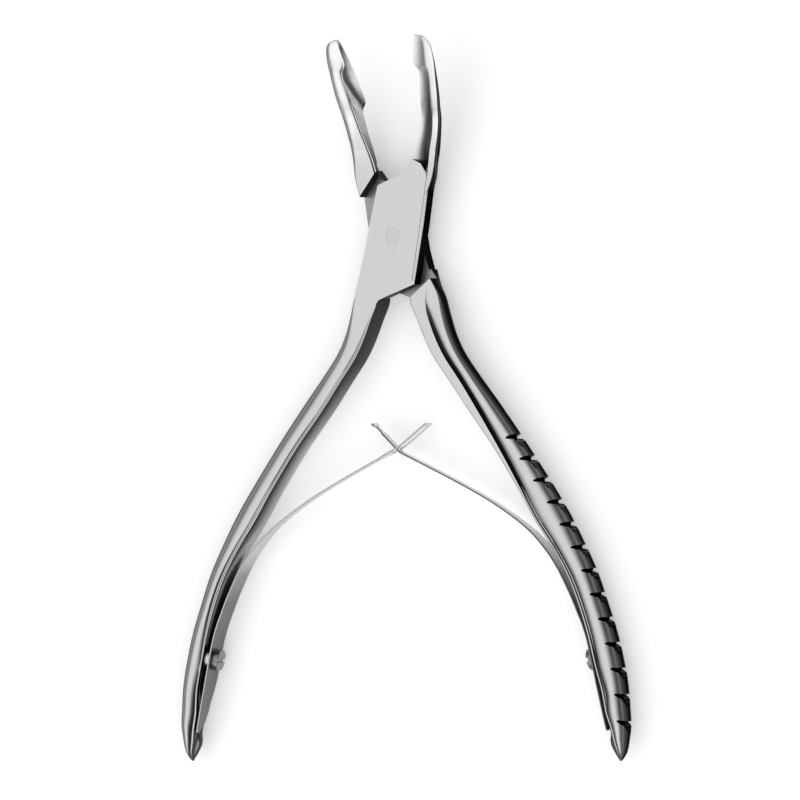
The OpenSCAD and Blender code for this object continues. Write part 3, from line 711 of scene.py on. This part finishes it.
def pivotPin():
    bm = barBetween((0, 0, 0), (0, 0, plateTop), pin["radius"], 96)
    rims = [e for e in bm.edges if abs(e.verts[0].co.z - e.verts[1].co.z) < nearly]
    bmesh.ops.bevel(bm, geom=rims, offset=pin["bevel"]*mm, segments=2, profile=0.5,
                    affect="EDGES", material=-1)
    for vert in bm.verts:
        if vert.co.z > (plateTop - 1)*mm:
            slope = math.tan(math.radians(pin["lean"]))
            vert.co.z += slope*(vert.co.x - pin["leanFrom"]*mm)*pin["leanShare"]
    return finishMesh(bm, "pin")


pivot = place(polish(pivotPin(), 60), "pivotPinSteel", "left_half", "pivot_pin")


def fromHex(text):  # sRGB hex to the linear values that the shader takes
    parts = [int(text[i:i + 2], 16)/255 for i in (0, 2, 4)]
    return [p/12.92 if p <= 0.04045 else ((p + 0.055)/1.055)**2.4 for p in parts] + [1]


def addNode(tree, kind, settings=None, links=None):  # one node, its values and its inputs
    node = tree.nodes.new(kind)
    for key, value in (settings or {}).items():
        if isinstance(key, int) or key in node.inputs.keys():
            node.inputs[key].default_value = value
        else:
            setattr(node, key, value)
    for key, socket in (links or {}).items():
        tree.links.new(socket, node.inputs[key])
    return node


def stepped(tree, stops, value):  # colour that runs through a list of (place, hex colour)
    ramp = addNode(tree, "ShaderNodeValToRGB", None, {"Fac": value})
    elements = ramp.color_ramp.elements
    elements.remove(elements[-1])
    for i, (stop, colour) in enumerate(stops):
        point = elements[0] if i < 1 else elements.new(stop)
        point.position, point.color = stop, fromHex(colour)
    return ramp.outputs["Color"]


# AISI 420 stainless, drop forged, belt ground on its fronts and tumbled. The ground fronts
# are pale and satin with fine lines along the bar. The sides carry painted shade: a face is
# darker the more it turns from the front, darkest outside, and painted paler inside the jaws
satinSteelWithPaintedShade = {
    "outside": ((0, "303133"), (0.35, "444547"), (0.62, "7C7D80"), (0.86, "A6A7AA"),
                (0.985, "CACBCD")),
    "innerPaintedLightAndShade": ((0, "58595B"), (0.3, "505153"), (0.55, "3E3E40"), (0.8, "5A5B5D"),
               (0.97, "CACBCD")),
    # painted reflection on the handles' inner walls: tone of their back half, from tip to neck
    "innerWallPaintedReflection": ((0, "5A5B5D"), (0.14, "66676A"), (0.3, "B0B1B3"), (0.6, "E2E3E5"),
                  (0.76, "77787A"), (0.9, "505153")),
    "wallLength": 0.125, "wallFront": 0.0078, "wallBack": 0.0012,
    "jawInsidePaintedLight": "96979A", "jawFrontPaintedHighlight": "D6D7D9", "lapFacePaintedShade": "96979A",
    "edgeTint": "9C9C9C",  # brushed steel returns less at a glancing angle than polished
    "roughness": 0.28, "grainAcross": 0.35, "grainAlong": 7, "cloudSize": 7, "bump": 0.012,
    # where one zone turns to the next: metres up the jaw, mm to either side, and how level
    "jawStart": (0.014, 0.024), "sideFade": 0.8, "wallLevels": (0.9, 0.3),
    "frontLevels": (0.9, 0.98), "lapHeight": 4.38, "lapSpread": 0.05,
    "mottle": (0.16, 0.92), "patches": (0.12, -0.06),  # factor, and what is added to it
}


def steelMaterial(name, look, turn):
    material = bpy.data.materials.new(name)
    material.use_nodes = True
    tree = material.node_tree
    tree.nodes.clear()
    coords = addNode(tree, "ShaderNodeTexCoord")
    spot = addNode(tree, "ShaderNodeSeparateXYZ", None, {"Vector": coords.outputs["Object"]})
    facing = addNode(tree, "ShaderNodeSeparateXYZ", None, {"Vector": coords.outputs["Normal"]})
    # scales are waves per metre: belt lines are drawn wider than real, so that they show
    grainMap = addNode(tree, "ShaderNodeMapping", {
        "Rotation": (0, 0, turn),
        "Scale": (1000/look["grainAcross"], 1000/look["grainAlong"], 1000/look["grainAcross"])},
        {"Vector": coords.outputs["Object"]})
    grain = addNode(tree, "ShaderNodeTexNoise", {"Scale": 1, "Detail": 3, "Roughness": 0.6},
                    {"Vector": grainMap.outputs["Vector"]})
    cloud = addNode(tree, "ShaderNodeTexNoise", {"Scale": 1000/look["cloudSize"], "Detail": 3},
                    {"Vector": coords.outputs["Object"]})
    jawShare = addNode(tree, "ShaderNodeMapRange", {
        "interpolation_type": "SMOOTHSTEP", "From Min": look["jawStart"][0],
        "From Max": look["jawStart"][1]},
        {"Value": spot.outputs["Y"]})
    lengthwise = addNode(tree, "ShaderNodeMath", {"operation": "MULTIPLY"},
                         {0: facing.outputs["Y"], 1: jawShare.outputs["Result"]})
    flatPart = addNode(tree, "ShaderNodeCombineXYZ", None,
                       {"X": lengthwise.outputs[0], "Z": facing.outputs["Z"]})
    lying = addNode(tree, "ShaderNodeVectorMath", {"operation": "LENGTH"},
                    {0: flatPart.outputs["Vector"]})  # 1 on the ground fronts, 0 on walls
    outward = addNode(tree, "ShaderNodeMath", {"operation": "MULTIPLY"},
                      {0: spot.outputs["X"], 1: facing.outputs["X"]})
    outerShare = addNode(tree, "ShaderNodeMapRange", {
        "interpolation_type": "SMOOTHSTEP", "From Min": -look["sideFade"]*mm,
        "From Max": look["sideFade"]*mm},
        {"Value": outward.outputs[0]})
    # painted shade: walls take darker tones than the ground fronts, darkest on the outer sides
    tones = [stepped(tree, look[side], lying.outputs["Value"]) for side in ("outside", "innerPaintedLightAndShade")]
    wall = addNode(tree, "ShaderNodeMapRange", {
        "From Min": look["wallLevels"][0], "From Max": look["wallLevels"][1]},
        {"Value": lying.outputs["Value"]})
    down = addNode(tree, "ShaderNodeMapRange", {"From Min": -look["wallLength"], "From Max": 0},
                   {"Value": spot.outputs["Y"]})
    back = addNode(tree, "ShaderNodeMapRange", {
        "From Min": look["wallFront"], "From Max": look["wallBack"]},
        {"Value": spot.outputs["Z"]})
    backWall = addNode(tree, "ShaderNodeMath", {"operation": "MULTIPLY"},
                       {0: back.outputs["Result"], 1: wall.outputs["Result"]})
    # painted reflection: the back half of each handle's inner wall takes the tip-to-neck tones
    innerWallPaintedReflection = addNode(tree, "ShaderNodeMix", {"data_type": "RGBA"},
                        {0: backWall.outputs[0], 6: tones[1],
                         7: stepped(tree, look["innerWallPaintedReflection"], down.outputs["Result"])})
    jawWall = addNode(tree, "ShaderNodeMath", {"operation": "MULTIPLY"},
                      {0: wall.outputs["Result"], 1: jawShare.outputs["Result"]})
    # painted light: the jaws' inner walls are made paler, the right jaw's more than the left's
    innerPaintedLightAndShade = addNode(tree, "ShaderNodeMix", {"data_type": "RGBA", 7: fromHex(look["jawInsidePaintedLight"])},
                     {0: jawWall.outputs[0], 6: innerWallPaintedReflection.outputs[2]})
    tone = addNode(tree, "ShaderNodeMix", {"data_type": "RGBA"},
                   {0: outerShare.outputs["Result"], 6: innerPaintedLightAndShade.outputs[2], 7: tones[0]})
    # painted highlight: the jaws' fronts are made paler than the handles' fronts
    front = addNode(tree, "ShaderNodeMapRange", {
        "From Min": look["frontLevels"][0], "From Max": look["frontLevels"][1]},
        {"Value": lying.outputs["Value"]})
    jawFrontPaintedHighlight = addNode(tree, "ShaderNodeMath", {"operation": "MULTIPLY"},
                       {0: front.outputs["Result"], 1: jawShare.outputs["Result"]})
    jawTone = addNode(tree, "ShaderNodeMix", {"data_type": "RGBA", 7: fromHex(look["jawFrontPaintedHighlight"])},
                      {0: jawFrontPaintedHighlight.outputs[0], 6: tone.outputs[2]})
    # painted shade: the two inner faces of the lap, deep under the plate, are made darker
    depth = addNode(tree, "ShaderNodeMath", {
        "operation": "COMPARE", 1: look["lapHeight"]*mm, 2: look["lapSpread"]*mm},
        {0: spot.outputs["Z"]})
    lap = addNode(tree, "ShaderNodeMath", {"operation": "MULTIPLY"},
                  {0: depth.outputs[0], 1: front.outputs["Result"]})
    allTone = addNode(tree, "ShaderNodeMix", {"data_type": "RGBA", 7: fromHex(look["lapFacePaintedShade"])},
                      {0: lap.outputs[0], 6: jawTone.outputs[2]})
    mottle = addNode(tree, "ShaderNodeMath", {
        "operation": "MULTIPLY_ADD", 1: look["mottle"][0], 2: look["mottle"][1]},
        {0: grain.outputs["Fac"]})
    patchy = addNode(tree, "ShaderNodeMath", {
        "operation": "MULTIPLY_ADD", 1: look["patches"][0], 2: look["patches"][1]},
        {0: cloud.outputs["Fac"]})
    shade = addNode(tree, "ShaderNodeMath", {"operation": "ADD"},
                    {0: mottle.outputs[0], 1: patchy.outputs[0]})
    colour = addNode(tree, "ShaderNodeVectorMath", {"operation": "SCALE"},
                     {0: allTone.outputs[2], "Scale": shade.outputs[0]})
    rough = addNode(tree, "ShaderNodeMapRange", {
        "From Min": 0.3, "From Max": 0.7, "To Min": look["roughness"] - 0.05,
        "To Max": look["roughness"] + 0.06}, {"Value": cloud.outputs["Fac"]})
    bump = addNode(tree, "ShaderNodeBump", {"Strength": 0.35, "Distance": look["bump"]*mm},
                   {"Height": grain.outputs["Fac"]})
    shader = addNode(tree, "ShaderNodeBsdfPrincipled", {
        "Metallic": 1.0, "Specular Tint": fromHex(look["edgeTint"])},
                     {"Base Color": colour.outputs[0], "Roughness": rough.outputs["Result"],
                      "Normal": bump.outputs["Normal"]})
    addNode(tree, "ShaderNodeOutputMaterial", None, {"Surface": shader.outputs["BSDF"]})
    return material


# The small parts: rolled spring strip, turned screws and the riveted pin
smallParts = {
    # cold-rolled AISI 301 strip, blued off and polished: even grey, with lines along the strip,
    # and a painted highlight where it slopes across
    "rolledSpringSteelPaintedHighlight": {"light": "6E6F72", "dark": "55565A", "ends": "C2C3C6", "front": 0,
                          "endsFrom": 0.35, "endsFull": 0.62,
                          "wave": (0.25, 5, 0.5), "roughness": 0.26, "bump": 0.006},
    # turned 303 stainless: bright, with fine rings left by the tool
    "turnedScrewSteel": {"light": "97989B", "dark": "606164", "wave": (0.18, 0.6, 0.6),
                         "roughness": 0.2, "bump": 0.006},
    # pin ground flush with the plate: the same pale satin, a little smoother
    "groundPinSteel": {"light": "D0D1D3", "dark": "BDBEC0", "wave": (0.35, 3, 2),
                       "roughness": 0.27, "bump": 0.008},
}


def plainSteel(name, look):
    material = bpy.data.materials.new(name)
    material.use_nodes = True
    tree = material.node_tree
    tree.nodes.clear()
    coords = addNode(tree, "ShaderNodeTexCoord")
    waves = addNode(tree, "ShaderNodeMapping", {
        "Scale": tuple(1000/w for w in look["wave"])}, {"Vector": coords.outputs["Object"]})
    grain = addNode(tree, "ShaderNodeTexNoise", {"Scale": 1, "Detail": 3, "Roughness": 0.55},
                    {"Vector": waves.outputs["Vector"]})
    colour = addNode(tree, "ShaderNodeMix", {"data_type": "RGBA", 6: fromHex(look["dark"]),
                                             7: fromHex(look["light"])},
                     {0: grain.outputs["Fac"]})
    tone = colour.outputs[2]
    if "ends" in look:  # painted highlight: the free end, which slopes across, is made paler
        facing = addNode(tree, "ShaderNodeSeparateXYZ", None, {"Vector": coords.outputs["Normal"]})
        front = addNode(tree, "ShaderNodeMath", {"operation": "MULTIPLY", 1: look["front"]},
                        {0: facing.outputs["Z"]})
        across = addNode(tree, "ShaderNodeCombineXYZ", None,
                         {"Y": facing.outputs["Y"], "Z": front.outputs[0]})
        slope = addNode(tree, "ShaderNodeVectorMath", {"operation": "LENGTH"},
                        {0: across.outputs["Vector"]})
        share = addNode(tree, "ShaderNodeMapRange", {
            "interpolation_type": "SMOOTHSTEP", "From Min": look["endsFrom"],
            "From Max": look["endsFull"]},
            {"Value": slope.outputs["Value"]})
        mixed = addNode(tree, "ShaderNodeMix", {"data_type": "RGBA", 7: fromHex(look["ends"])},
                        {0: share.outputs["Result"], 6: tone})
        tone = mixed.outputs[2]
    rough = addNode(tree, "ShaderNodeMapRange", {
        "From Min": 0.3, "From Max": 0.7, "To Min": look["roughness"] - 0.04,
        "To Max": look["roughness"] + 0.05}, {"Value": grain.outputs["Fac"]})
    bump = addNode(tree, "ShaderNodeBump", {"Strength": 0.3, "Distance": look["bump"]*mm},
                   {"Height": grain.outputs["Fac"]})
    shader = addNode(tree, "ShaderNodeBsdfPrincipled", {"Metallic": 1.0},
                     {"Base Color": tone, "Roughness": rough.outputs["Result"],
                      "Normal": bump.outputs["Normal"]})
    addNode(tree, "ShaderNodeOutputMaterial", None, {"Surface": shader.outputs["BSDF"]})
    return material


# the left strip lies outermost at the crossing, and its front edge gets a painted highlight
smallParts["springSteelPaintedFrontHighlight"] = dict(smallParts["rolledSpringSteelPaintedHighlight"], front=0.8)
finishes = {name: plainSteel(name, look) for name, look in smallParts.items()}
finishes["groundSteelPaintedShadeLeft"] = steelMaterial("groundSteelPaintedShadeLeft", satinSteelWithPaintedShade, restAngle)
# a lit copy: the right half's jaw insides are painted paler than the left's
finishes["groundSteelPaintedShadeRight"] = steelMaterial(
    "groundSteelPaintedShadeRight", dict(satinSteelWithPaintedShade, jawInsidePaintedLight="D0D1D3"), -restAngle)
for piece, name in ((leftHalf, "groundSteelPaintedShadeLeft"), (rightHalf, "groundSteelPaintedShadeRight"),
                    (leftLeaf, "springSteelPaintedFrontHighlight"), (rightLeaf, "rolledSpringSteelPaintedHighlight"),
                    (leftScrew, "turnedScrewSteel"), (rightScrew, "turnedScrewSteel"),
                    (pivot, "groundPinSteel")):
    piece.data.materials.clear()
    piece.data.materials.append(finishes[name])
print("finishes made")


view = {"tilt": 20.6, "roll": 0.66, "pivotPixel": (399.4, 235.5), "mmPerPixel": 0.2352,
        "imageSize": 800, "lens": 500, "sensor": 36, "clip": (0.1, 20)}


def addCamera():
    tilt, roll = math.radians(view["tilt"]), math.radians(view["roll"])
    level = Vector((math.cos(tilt), 0, -math.sin(tilt)))
    back = Vector((math.sin(tilt), 0, math.cos(tilt)))
    right = level*math.cos(roll) - Vector((0, 1, 0))*math.sin(roll)
    up = level*math.sin(roll) + Vector((0, 1, 0))*math.cos(roll)
    step = view["mmPerPixel"]*mm
    dx, dy = (view["imageSize"]/2 - p for p in view["pivotPixel"])
    centre = Vector((0, 0, midPlane*mm)) + right*dx*step - up*dy*step
    data = bpy.data.cameras.new("photoCamera")
    data.sensor_width, data.lens = view["sensor"], view["lens"]
    distance = view["imageSize"]*step/data.sensor_width*data.lens
    camera = bpy.data.objects.new("photoCamera", data)
    turn = Matrix((right, up, back)).transposed().to_4x4()
    camera.matrix_world = Matrix.Translation(centre + back*distance) @ turn
    data.clip_start, data.clip_end = view["clip"]
    bpy.context.scene.collection.objects.link(camera)
    bpy.context.scene.camera = camera


addCamera()

floorLook = {"size": 6, "colour": "F7F7F7", "roughness": 0.9, "lift": 0.3, "below": 0.02}


def addFloor():
    bm = bmesh.new()
    bmesh.ops.create_grid(bm, x_segments=1, y_segments=1, size=floorLook["size"])
    bmesh.ops.translate(bm, verts=bm.verts, vec=(0, 0, -floorLook["below"]*mm))
    floor = finishMesh(bm, "paleFloor")
    material = bpy.data.materials.new("paleFloorPaper")
    material.use_nodes = True
    tree = material.node_tree
    shader = tree.nodes["Principled BSDF"]
    shader.inputs["Base Color"].default_value = fromHex(floorLook["colour"])
    shader.inputs["Roughness"].default_value = floorLook["roughness"]
    rays = addNode(tree, "ShaderNodeLightPath")  # the paper is lifted to white where seen
    seen = addNode(tree, "ShaderNodeMath", {"operation": "MAXIMUM"},
                   {0: rays.outputs["Is Camera Ray"], 1: rays.outputs["Is Glossy Ray"]})
    seenAll = addNode(tree, "ShaderNodeMath", {"operation": "MAXIMUM"},
                      {0: seen.outputs[0], 1: rays.outputs["Is Transmission Ray"]})
    lift = addNode(tree, "ShaderNodeMath", {"operation": "MULTIPLY", 1: floorLook["lift"]},
                   {0: seenAll.outputs[0]})
    tree.links.new(lift.outputs[0], shader.inputs["Emission Strength"])
    shader.inputs["Emission Color"].default_value = (1, 1, 1, 1)
    floor.data.materials.append(material)


addFloor()

studio = {
    "above": 0.86, "leftSide": 0.4, "rightSide": 0.2,  # light from above and from low down
    "leftTo": -0.45, "rightFrom": 0.6,  # between these, one side turns to the other
    "lowTo": 0.38, "highFrom": 0.86,  # heights between which the sides turn to the top
    "frontBoard": 0.75,  # white board near the handles' end, which the jaws look at
    "boardAlong": (-0.3, -0.62), "boardHigh": (0.2, 0.5),  # where it starts and is full
    "softbox": {"towards": (-0.31, 0, 0.95), "distance": 1.5, "width": 2.2, "depth": 1.8,
                "power": 2.8},
}


def addSoftbox(name, look):
    lamp = bpy.data.lights.new(name, "AREA")
    lamp.shape, lamp.size, lamp.size_y = "RECTANGLE", look["width"], look["depth"]
    lamp.energy = look["power"]
    holder = bpy.data.objects.new(name, lamp)
    spot = Vector(look["towards"]).normalized()*look["distance"]
    holder.location = spot
    holder.rotation_euler = (0, math.atan2(spot.x, spot.z), 0)
    bpy.context.scene.collection.objects.link(holder)


def addStudio():
    world = bpy.data.worlds.new("studioWorld")
    bpy.context.scene.world = world
    world.use_nodes = True
    tree = world.node_tree
    tree.nodes.clear()
    coords = addNode(tree, "ShaderNodeTexCoord")
    parts = addNode(tree, "ShaderNodeSeparateXYZ", None, {"Vector": coords.outputs["Generated"]})
    side = addNode(tree, "ShaderNodeMapRange", {
        "interpolation_type": "SMOOTHSTEP", "From Min": studio["leftTo"],
        "From Max": studio["rightFrom"],
        "To Min": studio["leftSide"], "To Max": studio["rightSide"]},
        {"Value": parts.outputs["X"]})
    high = addNode(tree, "ShaderNodeMapRange", {
        "interpolation_type": "SMOOTHSTEP", "From Min": studio["lowTo"],
        "From Max": studio["highFrom"]}, {"Value": parts.outputs["Z"]})
    room = addNode(tree, "ShaderNodeMix", {"data_type": "FLOAT", 3: studio["above"]},
                   {0: high.outputs["Result"], 2: side.outputs["Result"]})
    toFront = addNode(tree, "ShaderNodeMapRange", {
        "interpolation_type": "SMOOTHSTEP", "From Min": studio["boardAlong"][0],
        "From Max": studio["boardAlong"][1]},
        {"Value": parts.outputs["Y"]})
    raised = addNode(tree, "ShaderNodeMapRange", {
        "interpolation_type": "SMOOTHSTEP", "From Min": studio["boardHigh"][0],
        "From Max": studio["boardHigh"][1]},
        {"Value": parts.outputs["Z"]})
    board = addNode(tree, "ShaderNodeMath", {"operation": "MULTIPLY"},
                    {0: toFront.outputs["Result"], 1: raised.outputs["Result"]})
    strength = addNode(tree, "ShaderNodeMath", {"operation": "MULTIPLY_ADD",
                                                1: studio["frontBoard"]},
                       {0: board.outputs[0], 2: room.outputs[0]})
    sky = addNode(tree, "ShaderNodeBackground", {"Color": (1, 1, 1, 1)},
                  {"Strength": strength.outputs[0]})
    addNode(tree, "ShaderNodeOutputWorld", None, {"Surface": sky.outputs["Background"]})
    addSoftbox("softbox", studio["softbox"])


addStudio()
bpy.context.scene.view_settings.view_transform = "Standard"
print("studio ready")
